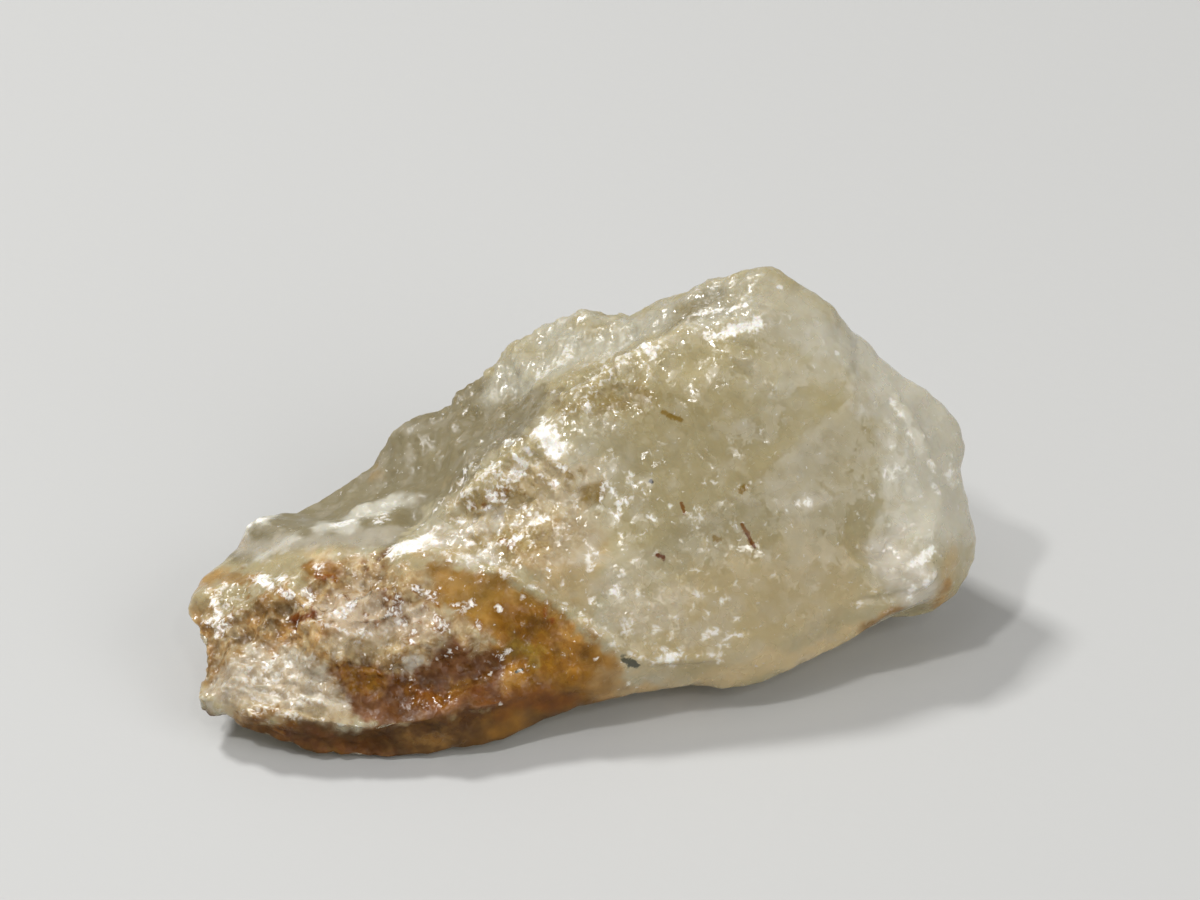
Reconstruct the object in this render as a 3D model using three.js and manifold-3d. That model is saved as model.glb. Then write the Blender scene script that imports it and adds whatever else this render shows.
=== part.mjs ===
// A rough piece of herderite: a broken, cloudy crystal fragment about as long as a fingertip.
// It is one solid. A tall wedge rises to a summit at the right, a low stained lobe runs out to the left,
// a smooth window face looks to the front, and a long ridge parts that face from the slope behind it.
// Millimetres. X runs along the stone, Y to its back and Z up. The origin is under its middle, on the base.

import * as THREE from "three";
import { ConvexHull } from "three/addons/math/ConvexHull.js";
import { mergeVertices } from "three/addons/utils/BufferGeometryUtils.js";
import Module from "manifold-3d";

const LENGTH = 22; // the finished stone, along X
const FINE_GRAIN = 0.46; // the longest edge of a facet where the break is rough
const COARSE_GRAIN = 0.85; // and where it is smooth
const MERGE = 1e-4; // vertices closer than this are one

// The heart of the stone sees every corner, and the stone's rough half sizes even out those sight lines.
const HEART = new THREE.Vector3(1.8, 0.8, 2.2);
const HALF_SIZES = new THREE.Vector3(11, 6, 5);

// The corners of the broken faces, walked feature by feature.
const CORNERS = {
  // The skyline, from the summit down the right side to the knob.
  skyline: [
    [5.3, 4.5, 10.3], [5.8, 4.4, 10.1], [6.3, 4.3, 9.7], [7.3, 4.0, 8.8], [7.6, 3.9, 8.2], [8.4, 3.8, 7.6], [9.2, 3.7, 7.0],
    [10.0, 3.6, 6.5], [10.6, 3.5, 6.0], [10.9, 3.1, 5.3], [10.7, 2.5, 4.6], [11.0, 1.8, 3.6], [11.2, 1.3, 2.7], [10.8, 0.7, 1.8],
    [10.3, 0.4, 1.3], [9.6, 0.1, 1.1], [8.7, 0.0, 1.2],
  ],
  // The front rim, which overhangs the table, from the right to the foot of the lobe.
  rim: [
    [8.0, -0.8, 1.3], [6.8, -1.8, 1.1], [5.6, -2.6, 0.9], [4.2, -2.9, 0.8], [3.3, -2.9, 1.0], [1.6, -3.3, 0.9],
    [0.0, -3.7, 0.8], [-0.9, -4.1, 0.6], [-2.4, -4.7, 0.2], [-3.5, -4.8, 0.2], [-4.7, -4.8, 0.4], [-5.7, -5.0, 0.1],
    [-7.0, -4.9, 0.5], [-8.0, -4.9, 0.4], [-9.3, -4.5, 0.8],
  ],
  // The blunt left end of the lobe.
  leftEnd: [
    [-10.2, -3.9, 1.1], [-10.5, -3.5, 1.4], [-10.4, -3.0, 1.8], [-10.8, -2.0, 2.3], [-11.0, -0.9, 2.5],
    [-10.7, 0.3, 2.5], [-9.8, 1.5, 2.6],
  ],
  // The rear skyline, from the left end up to the summit.
  rearSkyline: [
    [-9.5, 2.1, 3.2], [-8.2, 2.9, 3.0], [-7.0, 3.6, 3.3], [-6.1, 4.2, 3.7], [-5.2, 4.7, 4.4], [-4.1, 5.0, 4.9],
    [-3.2, 5.4, 5.6], [-2.1, 5.8, 6.6], [-0.8, 6.0, 7.2], [0.4, 5.9, 7.4], [1.5, 5.7, 7.8], [3.0, 5.1, 8.8],
    [3.9, 4.8, 9.5], [4.6, 4.6, 10.0],
  ],
  // The main ridge, from under the summit down to the lobe.
  ridge: [
    [4.7, 2.6, 9.5], [3.3, 2.5, 9.0], [2.0, 2.6, 8.8], [0.5, 2.1, 8.1], [-0.6, 1.6, 7.5], [-1.0, 0.8, 6.9],
    [-2.3, 0.5, 6.2], [-3.5, 0.0, 5.2], [-4.2, -0.7, 4.6], [-5.1, -1.4, 4.4],
  ],
  // The streaked cap between the ridge and the summit.
  cap: [[4.6, 3.6, 9.9], [3.4, 3.5, 9.2], [5.6, 3.3, 9.7], [5.2, 5.3, 9.4], [3.6, 5.6, 8.3], [6.7, 4.9, 8.4]],
  // The bevels at the right of the window face.
  rightBevels: [
    [6.5, 3.0, 9.1], [7.7, 2.0, 7.5], [8.0, 0.8, 5.8], [8.9, 2.4, 6.9], [9.5, 1.7, 5.8], [10.0, 1.4, 4.7], [8.9, 0.6, 4.8],
  ],
  // The knob, and the groove that parts it from the window face.
  knob: [
    [8.1, 0.1, 4.4], [8.0, -0.5, 3.7], [8.2, -1.0, 2.8], [9.0, 0.0, 4.3], [8.6, -0.8, 3.7], [9.8, -0.2, 4.0],
    [9.4, -1.0, 3.4], [9.1, -1.3, 2.7], [10.6, 0.3, 3.2], [10.2, -0.4, 2.5],
  ],
  // The window face: its middle, its right side and its lower edge.
  window: [
    [3.3, 1.1, 7.9], [4.9, -0.4, 6.3], [2.7, -1.3, 5.6], [1.1, 0.7, 7.2], [0.2, 0.0, 6.3], [1.1, -2.0, 4.7], [3.2, -2.6, 3.9],
    [6.0, -1.6, 4.4], [7.4, -0.2, 5.2], [7.3, -1.1, 4.2], [7.4, -1.6, 2.9], [5.8, -2.6, 2.5], [3.8, -3.2, 2.3], [1.9, -3.5, 2.4],
  ],
  // The stained, stepped flank below the ridge, down to its curved lower edge.
  flank: [
    [-3.1, -0.3, 4.8], [-1.2, -0.2, 5.5], [-2.0, -1.1, 4.7], [-3.7, -1.4, 4.6], [-2.1, -2.0, 4.3],
    [-0.9, -2.5, 3.8], [0.5, -3.2, 3.0],
  ],
  // The broken front and top of the stained lobe, with the crust, the hollow under it and the shelf.
  lobe: [
    [-7.8, -1.5, 3.9], [-6.4, -1.7, 4.1], [-8.8, -2.2, 3.6], [-6.9, -2.4, 3.4], [-6.9, -3.2, 3.5], [-5.6, -3.3, 3.7],
    [-4.4, -3.6, 3.2], [-8.7, -3.0, 2.7], [-9.7, -3.2, 2.2], [-9.5, -4.2, 2.0], [-7.7, -4.1, 2.3], [-6.4, -3.9, 2.3],
    [-5.0, -4.0, 2.0], [-3.6, -4.1, 1.9], [-2.2, -3.6, 2.3], [-1.2, -3.4, 2.7], [-9.4, -4.7, 1.5], [-7.9, -5.1, 1.6],
    [-5.8, -5.3, 1.4], [-4.1, -5.0, 1.5], [-2.1, -4.6, 1.8], [-0.6, -4.1, 1.8], [0.6, -3.8, 1.6],
  ],
  // The slope that falls away behind the main ridge.
  rearSlope: [
    [1.4, 4.1, 8.0], [-0.6, 3.9, 7.2], [-1.8, 3.0, 6.5], [-2.9, 3.6, 5.6], [-4.1, 2.2, 4.8], [-5.1, 1.2, 4.2], [-6.3, 1.1, 3.7],
    [-5.5, 3.0, 3.9], [-7.4, 2.2, 3.2], [-8.0, 0.7, 3.6], [-9.3, 0.4, 3.1],
  ],
  // The crags of the back wall.
  backWall: [
    [9.3, 4.6, 5.0], [7.0, 5.3, 6.6], [4.6, 6.0, 7.2], [2.2, 6.4, 6.4], [-0.4, 6.9, 5.6], [-3.2, 6.4, 4.2], [9.9, 3.9, 3.2],
    [8.2, 5.6, 3.9], [5.9, 6.3, 4.6], [3.6, 7.1, 5.0], [1.0, 7.2, 3.9], [-1.4, 7.3, 3.2], [-4.2, 6.0, 2.9], [-6.2, 5.2, 2.2],
    [-8.2, 3.9, 1.9], [-9.8, 2.4, 1.6], [6.6, 6.2, 2.6], [4.0, 6.6, 3.0],
  ],
  // The heel, where the back wall turns under.
  heel: [
    [9.4, 2.4, 0.9], [8.6, 4.4, 1.2], [6.4, 5.3, 0.9], [4.2, 6.2, 1.3], [1.4, 6.4, 0.7], [-1.2, 6.5, 1.1], [-3.9, 5.2, 0.6],
    [-6.5, 4.3, 0.7], [-8.4, 2.4, 0.5], [-9.8, 0.9, 1.0], [-10.1, -1.4, 0.9],
  ],
  // The underside: its slopes, then the part that the stone is broken off flat below.
  underside: [
    [-9.0, -3.7, 0.5], [-8.6, -1.8, 0.4], [-7.4, 1.0, 0.3], [-5.2, 3.4, 0.3], [-1.0, 5.0, 0.3], [2.6, 5.2, 0.3], [5.6, 4.4, 0.4],
    [7.4, 2.6, 0.4], [7.6, 0.7, 0.5], [5.6, -0.9, 0.4], [2.8, -2.0, 0.3], [-0.6, -2.8, 0.2],
    [-6.2, -3.4, -0.3], [-3.2, -3.2, -0.3], [1.0, -1.2, -0.4], [4.2, 0.2, -0.3], [5.6, 1.9, -0.3], [3.8, 3.3, -0.3],
    [0.4, 3.8, -0.4], [-3.0, 3.0, -0.3], [-5.6, 1.0, -0.3], [-6.8, -1.4, -0.3], [-1.0, 0.8, -0.5],
  ],
};

// Places on the stone where the break has a character of its own. Reach is how far it fades out.
// Chips are shallow bowls that meet in sharp edges, and ledges are steps along the stated rise.
const ZONES = [
  { name: "lobe end", at: [-9.4, -3.0, 2.4], reach: 3.6, chips: 0.4, ledges: 0.06 },
  { name: "lobe crust", at: [-6.2, -3.2, 3.0], reach: 3.6, chips: 0.46, ledges: 0.1 },
  { name: "lobe foot", at: [-3.0, -4.2, 1.8], reach: 2.8, chips: 0.22, ledges: 0.08 },
  { name: "stepped flank", at: [-1.8, -0.2, 5.2], reach: 3.0, chips: 0.26, ledges: 0.16 },
  { name: "ridge", at: [0.6, 2.2, 8.2], reach: 2.6, chips: 0.2, ledges: 0.14 },
  { name: "summit", at: [3.8, 3.6, 9.6], reach: 2.2, chips: 0.16, ledges: 0.2 },
  { name: "rear slope", at: [-5.4, 2.4, 4.2], reach: 4.6, chips: 0.34, ledges: 0.1 },
  { name: "rear ridge", at: [0.6, 5.4, 7.6], reach: 4.0, chips: 0.24, ledges: 0.16 },
  { name: "back wall", at: [1.0, 7.4, 4.0], reach: 11.0, chips: 0.3, ledges: 0.26 },
  { name: "knob", at: [9.6, -0.2, 3.0], reach: 1.9, chips: 0.16, ledges: 0 },
];
const ROUGHEST_CHIPS = 0.4; // where the chips are this high, the facets are at their finest
const ZONE_PLATEAU = 1.4; // how soon a zone comes to its full strength inside its reach
const SMOOTH_CHIPS = 0.07; // what is left of the chips between the zones
const SWELL = { size: 3.4, height: 0.16, channel: 20 }; // long, low waves over the whole surface
const BOWLS = [{ size: 1.6, share: 0.8, channel: 0 }, { size: 0.85, share: 0.45, channel: 7 }]; // coarse and fine chips
const CHIP_TILT = 0.55;
const LEDGE_PITCH = 0.95;
const LEDGE_RISE = new THREE.Vector3(0.42, -0.35, 0.84);
const LEDGE_RISER = 0.3; // the share of a step that climbs
const LEDGE_WANDER = { size: 2.1, height: 0.8, channel: 40 };

// A repeatable number from 0 to 1 for a whole-numbered place and a channel.
function chance(i, j, k, channel) {
  const wave = Math.sin(i * 127.1 + j * 311.7 + k * 74.7 + channel * 53.9) * 43758.5453;
  return wave - Math.floor(wave);
}

function smoothstep(t) {
  const held = Math.min(Math.max(t, 0), 1);
  return held * held * (3 - 2 * held);
}

// Soft waves from -1 to 1: random heights on a lattice of the given size, eased from one to the next.
function swell(point, size, channel) {
  const base = point.toArray().map((value) => Math.floor(value / size));
  const ease = point.toArray().map((value, axis) => smoothstep(value / size - base[axis]));
  let height = 0;
  for (let corner = 0; corner < 8; corner += 1) {
    const step = [corner & 1, (corner >> 1) & 1, (corner >> 2) & 1];
    const share = step.reduce((product, side, axis) => product * (side ? ease[axis] : 1 - ease[axis]), 1);
    height += share * chance(base[0] + step[0], base[1] + step[1], base[2] + step[2], channel);
  }
  return 2 * height - 1;
}

// Chipped relief, from about -1 to 1: one tilted bowl stands in each lattice cell, and the lowest bowl wins.
function chips(point, size, channel) {
  const place = point.clone().divideScalar(size);
  const cell = place.clone().floor();
  let lowest = Infinity;
  for (let i = -1; i <= 1; i += 1) {
    for (let j = -1; j <= 1; j += 1) {
      for (let k = -1; k <= 1; k += 1) {
        const at = [cell.x + i, cell.y + j, cell.z + k];
        const offset = new THREE.Vector3(
          place.x - at[0] - chance(...at, channel),
          place.y - at[1] - chance(...at, channel + 1),
          place.z - at[2] - chance(...at, channel + 2),
        );
        const tilt = new THREE.Vector3(
          chance(...at, channel + 3) - 0.5,
          chance(...at, channel + 4) - 0.5,
          chance(...at, channel + 5) - 0.5,
        );
        lowest = Math.min(lowest, offset.lengthSq() + 2 * CHIP_TILT * offset.dot(tilt));
      }
    }
  }
  return 2 * Math.min(lowest, 1) - 0.5;
}

// Steps from -0.5 to 0.5 that climb along LEDGE_RISE, with treads that wander.
function ledges(point) {
  const wander = LEDGE_WANDER.height * swell(point, LEDGE_WANDER.size, LEDGE_WANDER.channel);
  const climb = point.dot(LEDGE_RISE) / LEDGE_PITCH + wander;
  const tread = climb - Math.floor(climb);
  return smoothstep(tread / LEDGE_RISER) - tread;
}

// How rough the break is at a point: the heights of the chips and of the ledges there.
function roughness(point) {
  const rough = { chips: SMOOTH_CHIPS, ledges: 0 };
  for (const zone of ZONES) {
    const inside = 1 - point.distanceTo(new THREE.Vector3(...zone.at)) / zone.reach;
    const strength = smoothstep(ZONE_PLATEAU * inside);
    rough.chips = Math.max(rough.chips, zone.chips * strength);
    rough.ledges = Math.max(rough.ledges, zone.ledges * strength);
  }
  return rough;
}

// How far the surface stands proud of the plain faces at a point.
function relief(point) {
  const rough = roughness(point);
  const chipped = BOWLS.reduce((sum, { size, share, channel }) => sum + share * chips(point, size, channel), 0);
  return (
    SWELL.height * swell(point, SWELL.size, SWELL.channel) + rough.chips * chipped + rough.ledges * ledges(point)
  );
}

// The longest edge that may stay whole at a point, shorter the rougher the break is there.
function grain(point) {
  const rough = smoothstep(roughness(point).chips / ROUGHEST_CHIPS);
  return COARSE_GRAIN + (FINE_GRAIN - COARSE_GRAIN) * rough;
}

// The plain broken faces: the corners joined as the heart sees them side by side.
function brokenFaces() {
  const corners = Object.values(CORNERS).flat().map((corner) => new THREE.Vector3(...corner));
  const sights = corners.map((corner) => corner.clone().sub(HEART).divide(HALF_SIZES).normalize());
  return new ConvexHull().setFromPoints(sights).faces.map(({ edge }) => {
    const round = [edge, edge.next, edge.next.next];
    return round.map((side) => corners[sights.indexOf(side.head().point)]);
  });
}

// Cuts faces in two across their longest side, against the grain there, until no side is too long.
// Two neighbours cut a shared side at the same place, so the surface stays closed.
function cutFine(faces) {
  const waiting = [...faces];
  const positions = [];
  while (waiting.length > 0) {
    const face = waiting.pop();
    const sides = face.map((start, turn) => {
      const end = face[(turn + 1) % 3];
      const middle = start.clone().add(end).multiplyScalar(0.5);
      return { turn, middle, excess: start.distanceTo(end) / grain(middle) };
    });
    const { turn, middle, excess } = sides.reduce((most, side) => (side.excess > most.excess ? side : most));
    if (excess > 1) {
      const [start, end, apex] = [0, 1, 2].map((step) => face[(turn + step) % 3]);
      waiting.push([start, middle, apex], [middle, end, apex]);
    } else {
      positions.push(...face.flatMap((corner) => corner.toArray()));
    }
  }
  return new THREE.BufferGeometry().setAttribute("position", new THREE.Float32BufferAttribute(positions, 3));
}

// The broken faces cut fine, with every vertex moved along its normal by the relief there.
function fracturedSurface() {
  const surface = mergeVertices(cutFine(brokenFaces()), MERGE);
  surface.computeVertexNormals();
  const place = surface.getAttribute("position");
  const normals = surface.getAttribute("normal");
  const point = new THREE.Vector3();
  const normal = new THREE.Vector3();
  for (let i = 0; i < place.count; i += 1) {
    point.fromBufferAttribute(place, i);
    normal.fromBufferAttribute(normals, i);
    point.addScaledVector(normal, relief(point));
    place.setXYZ(i, point.x, point.y, point.z);
  }
  surface.deleteAttribute("normal");
  return surface;
}

function toSolid(wasm, geometry) {
  const closed = geometry.clone();
  closed.deleteAttribute("normal");
  closed.deleteAttribute("uv");
  const merged = mergeVertices(closed, MERGE);
  return new wasm.Manifold(
    new wasm.Mesh({
      numProp: 3,
      vertProperties: merged.getAttribute("position").array,
      triVerts: new Uint32Array(merged.index.array),
    }),
  );
}

function toGeometry(solid) {
  const mesh = solid.getMesh();
  const geometry = new THREE.BufferGeometry()
    .setAttribute("position", new THREE.BufferAttribute(mesh.vertProperties, 3))
    .setIndex(new THREE.BufferAttribute(mesh.triVerts, 1));
  geometry.computeVertexNormals();
  return geometry;
}

// The stone broken off flat underneath, so that it rests on one face.
function crystalGeometry(wasm) {
  const table = new THREE.BoxGeometry(4 * LENGTH, 4 * LENGTH, LENGTH).translate(0, 0, -LENGTH / 2);
  return toGeometry(toSolid(wasm, fracturedSurface()).subtract(toSolid(wasm, table)));
}

// Brings the stone to its length, and its middle over the origin.
function fitToFrame(geometry) {
  geometry.computeBoundingBox();
  const middle = geometry.boundingBox.getCenter(new THREE.Vector3());
  const size = geometry.boundingBox.getSize(new THREE.Vector3());
  const scale = LENGTH / size.x;
  return geometry.translate(-middle.x, -middle.y, -geometry.boundingBox.min.z).scale(scale, scale, scale);
}

const wasm = await Module();
wasm.setup();

const cloudyHerderite = new THREE.MeshStandardMaterial({ color: 0xafa384, roughness: 0.35, metalness: 0 });
const crystal = new THREE.Mesh(fitToFrame(crystalGeometry(wasm)), cloudyHerderite);
crystal.name = "herderite_crystal";

const specimen = new THREE.Group();
specimen.add(crystal);

export default specimen;
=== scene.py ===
"""A rough piece of herderite on a pale table, in plain studio light.

The crystal is the CAD stone with its surface made finer: its facets are softened, and chips, ledges and
fibres are raised on them where the real stone is broken. Its colours, clarity and frost are worked out for
every point of the surface, with painted highlights, glints and shade among the colours and the frost, and
the material adds the grain that is finer than that.

Shapes and noise sizes are in millimetres until a mesh is made. Pixels are the 1200 by 900 photograph's.
"""

import logging
import math
from dataclasses import dataclass, field
from enum import Enum

import bmesh
import bpy
import numpy as np
from mathutils import Matrix, Vector
from mathutils.bvhtree import BVHTree


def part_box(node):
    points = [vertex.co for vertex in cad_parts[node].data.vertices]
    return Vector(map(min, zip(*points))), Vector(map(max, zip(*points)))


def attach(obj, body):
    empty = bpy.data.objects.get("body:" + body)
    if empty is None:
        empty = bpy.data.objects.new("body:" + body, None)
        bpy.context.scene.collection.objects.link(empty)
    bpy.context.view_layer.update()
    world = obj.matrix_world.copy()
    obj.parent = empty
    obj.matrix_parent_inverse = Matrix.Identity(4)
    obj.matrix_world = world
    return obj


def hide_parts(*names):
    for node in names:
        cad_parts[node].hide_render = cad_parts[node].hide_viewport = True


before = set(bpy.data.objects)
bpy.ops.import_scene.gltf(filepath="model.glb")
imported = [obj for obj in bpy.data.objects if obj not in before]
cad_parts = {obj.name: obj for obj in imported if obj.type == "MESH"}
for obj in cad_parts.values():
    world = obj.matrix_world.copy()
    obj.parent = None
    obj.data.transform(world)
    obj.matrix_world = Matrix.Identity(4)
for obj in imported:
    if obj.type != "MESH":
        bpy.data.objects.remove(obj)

MM = 0.001
NODE = "herderite_crystal"
SLOT = "cloudy_herderite"

log = logging.getLogger("herderite")


# Noise

# Large odd numbers, which scatter the bits of a place in the lattice.
PLACE_STRIDES = np.array([73856093, 19349663, 83492791], dtype=np.uint32)
SEED_STRIDE = 2654435761
STIR = np.uint32(2246822519)


def lattice_chance(cells: np.ndarray, seed: int) -> np.ndarray:
    """Gives each whole-numbered place one repeatable number from 0 to 1.

    The place's three numbers are multiplied by large odd numbers and joined, and their bits are stirred.

    Args:
        cells: whole-numbered places, one row of three each.
        seed: picks one of many such sets of numbers.

    Returns:
        One number for each row.
    """
    mixed = np.bitwise_xor.reduce(cells.astype(np.int64).astype(np.uint32) * PLACE_STRIDES, axis=1)
    mixed ^= np.uint32(seed * SEED_STRIDE % 2**32)
    for _ in range(2):
        mixed = (mixed ^ (mixed >> np.uint32(15))) * STIR
    return ((mixed ^ (mixed >> np.uint32(13))) & np.uint32(0xFFFFFF)).astype(float) / 0xFFFFFF


def lattice_vector(cells: np.ndarray, seed: int) -> np.ndarray:
    """Gives each whole-numbered place three repeatable numbers from 0 to 1, as a row."""
    return np.stack([lattice_chance(cells, 3 * seed + axis) for axis in range(3)], axis=1)


def ease(amount: np.ndarray) -> np.ndarray:
    """Holds numbers between 0 and 1 and eases them in and out, by three squares less two cubes."""
    held = np.clip(amount, 0.0, 1.0)
    return held * held * (3.0 - 2.0 * held)


def waves(points: np.ndarray, size: float, seed: int) -> np.ndarray:
    """Soft waves from about -1 to 1.

    A random slope stands at each corner of a lattice, and the heights that the eight nearest slopes give a
    point are eased into each other.

    Args:
        points: places in millimetres, one row each.
        size: the lattice's pitch in millimetres.
        seed: picks the slopes.

    Returns:
        One height for each point.
    """
    place = points / size
    base = np.floor(place)
    offset = place - base
    eased = offset**3 * (offset * (offset * 6.0 - 15.0) + 10.0)
    height = np.zeros(len(points))
    for corner in np.ndindex(2, 2, 2):
        step = np.array(corner)
        slope = 2.0 * lattice_vector(base + step, seed) - 1.0
        share = np.prod(np.where(step == 1, eased, 1.0 - eased), axis=1)
        height += share * np.einsum("ij,ij->i", slope, offset - step)
    return 1.5 * height


def octaves(points: np.ndarray, size: float, seed: int, count: int = 3) -> np.ndarray:
    """Waves on waves: each finer set has half the size and half the height of the one before."""
    return sum(waves(points, size / 2**turn, seed + turn) / 2**turn for turn in range(count))


def bowls(points: np.ndarray, size: float, seed: int, tilt: float = 0.55) -> np.ndarray:
    """Chipped relief from about -0.5 to 1.5.

    One tilted bowl stands at a random place in each lattice cell. The lowest bowl over a point gives its
    height, so that shallow hollows meet in sharp edges.

    Args:
        points: places in millimetres, one row each.
        size: the lattice's pitch in millimetres.
        seed: picks the bowls.
        tilt: how far a bowl leans.

    Returns:
        One height for each point.
    """
    place = points / size
    cell = np.floor(place)
    lowest = np.ones(len(points))
    for step in np.ndindex(3, 3, 3):
        at = cell + np.array(step) - 1
        offset = place - at - lattice_vector(at, seed)
        lean = lattice_vector(at, seed + 1) - 0.5
        lowest = np.minimum(lowest, np.einsum("ij,ij->i", offset, offset + 2.0 * tilt * lean))
    return 2.0 * lowest - 0.5


def treads(points: np.ndarray, rise: tuple[float, float, float], pitch: float, seed: int) -> np.ndarray:
    """Steps from about -0.5 to 0.5 that climb along a direction, with wandering edges.

    The height along the direction, bent by waves, is split into whole steps. Within a step the surface
    climbs steeply over the first part and falls back evenly over the rest.

    Args:
        points: places in millimetres, one row each.
        rise: the direction that the steps climb in.
        pitch: the distance between steps, in millimetres.
        seed: picks the waves that bend them.

    Returns:
        One height for each point.
    """
    climb = points @ np.array(rise) / pitch + 0.9 * waves(points, 3.0 * pitch, seed)
    tread = climb - np.floor(climb)
    return ease(tread / 0.3) - tread


def fibres(points: np.ndarray, along: tuple[float, float, float], width: float, seed: int) -> np.ndarray:
    """Fine parallel ribs from about -1 to 1: waves drawn out eight times as long as they are wide.

    Args:
        points: places in millimetres, one row each.
        along: the direction that the ribs run in.
        width: the ribs' width in millimetres.
        seed: picks the ribs.

    Returns:
        One height for each point.
    """
    direction = np.array(along) / np.linalg.norm(along)
    drawn = points - np.outer(points @ direction * 7.0 / 8.0, direction)
    return waves(drawn, width, seed) + 0.6 * waves(drawn, 0.45 * width, seed + 1)


# The camera


@dataclass(frozen=True)
class PhotoCamera:
    """The camera at the photograph's place. Lengths are millimetres."""

    aim: tuple[float, float, float] = (0.42, 0.53, 5.79)
    distance: float = 125.2
    elevation_deg: float = 35.0
    lens: float = 135.0
    sensor: float = 36.0
    picture_width: int = 1200
    picture_height: int = 900

    def axes(self) -> tuple[np.ndarray, np.ndarray, np.ndarray]:
        """Returns the picture's right, its up and the way the camera looks, as unit vectors."""
        tilt = math.radians(self.elevation_deg)
        right = np.array([1.0, 0.0, 0.0])
        up = np.array([0.0, math.sin(tilt), math.cos(tilt)])
        return right, up, np.cross(up, right)

    def eye(self) -> np.ndarray:
        """Returns where the lens stands, in millimetres."""
        return np.array(self.aim) - self.distance * self.axes()[2]

    def sight(self, pixel: tuple[float, float]) -> np.ndarray:
        """Returns the unit vector from the lens through a pixel of the photograph."""
        right, up, forward = self.axes()
        focal = self.lens / self.sensor * self.picture_width
        across = (pixel[0] - self.picture_width / 2) / focal
        above = (self.picture_height / 2 - pixel[1]) / focal
        ray = forward + across * right + above * up
        return ray / np.linalg.norm(ray)

    def seen_at(self, points: np.ndarray) -> np.ndarray:
        """Returns the pixels that places in millimetres show at, one row each."""
        right, up, forward = self.axes()
        focal = self.lens / self.sensor * self.picture_width
        offset = points - self.eye()
        depth = offset @ forward
        across = self.picture_width / 2 + focal * (offset @ right) / depth
        down = self.picture_height / 2 - focal * (offset @ up) / depth
        return np.column_stack([across, down])

    def place(self) -> bpy.types.Object:
        """Adds the camera to the scene and makes it the one in use."""
        data = bpy.data.cameras.new("photo_camera")
        data.lens = self.lens
        data.sensor_width = self.sensor
        data.clip_start = 0.001
        camera = bpy.data.objects.new("photo_camera", data)
        right, up, forward = self.axes()
        turn = Matrix([right, up, -forward]).transposed().to_4x4()
        camera.matrix_world = Matrix.Translation(Vector(self.eye() * MM)) @ turn
        bpy.context.collection.objects.link(camera)
        bpy.context.scene.camera = camera
        return camera


# Colours


class Hue(Enum):
    """The colours that the stone shows, as they look in daylight."""

    CLOUD = 0xBFB288
    SMOKE = 0xA99C74
    SHADE = 0x8A7E5C
    MIST = 0xD2CEBA
    HAZE = 0xE2DECC
    CREAM = 0xE2CB9C
    BEIGE = 0xCBB487
    BUFF = 0xB7A078
    TAN = 0xB99A68
    PEARL = 0xE2DAC8
    BLUSH = 0xE4D0B4
    OCHRE = 0x8C6A28
    # This white is the crushed white of the break, and also the white of the painted highlights and glints.
    FROST_AND_GLARE = 0xF8F5EE
    OLIVE = 0x8E7A34
    GOLD = 0x8A6C12
    HONEY = 0x8E6114
    AMBER = 0x8E4A06
    TAWNY = 0xA87C38
    BROWN = 0x80500E
    UMBER = 0x6C3A02
    EARTH = 0x5E3C06
    RUST = 0x6C3404
    MOSS = 0x4E5044
    INK = 0x14110E

    def linear(self) -> np.ndarray:
        """Returns the colour in linear light, as red, green and blue."""
        channels = np.array([self.value >> 16, self.value >> 8 & 0xFF, self.value & 0xFF]) / 255.0
        return np.where(channels > 0.04045, ((channels + 0.055) / 1.055) ** 2.4, channels / 12.92)


# The hues that stain the stone, which make it less clear and less frosted.
STAINS = (
    Hue.BUFF, Hue.OCHRE, Hue.TAN, Hue.OLIVE, Hue.HONEY, Hue.AMBER, Hue.TAWNY, Hue.BROWN, Hue.UMBER,
    Hue.EARTH, Hue.RUST,
)

# How far the earthy stains take the gloss, the frost and the glow from the surface, from 0 to 1.
DULLNESS = {Hue.EARTH: 1.0, Hue.UMBER: 0.85, Hue.HONEY: 0.5}


@dataclass(frozen=True)
class Patch:
    """A stain, a pale place or a painted highlight on the line between two pixels. Its reach from there is
    in millimetres.

    Ragged is how much noise bends its edge. Sparse, at about 1 or more, leaves only separate crumbs of it.
    """

    name: str
    start: tuple[float, float]
    end: tuple[float, float]
    reach: float
    hue: Hue
    strength: float = 0.8
    ragged: float = 0.3
    sparse: float = 0.0


# The patches in the frost-white hue named glare, glint, light or highlight are painted highlights; the
# white crumbs are white crystals with painted glints among them.
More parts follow.
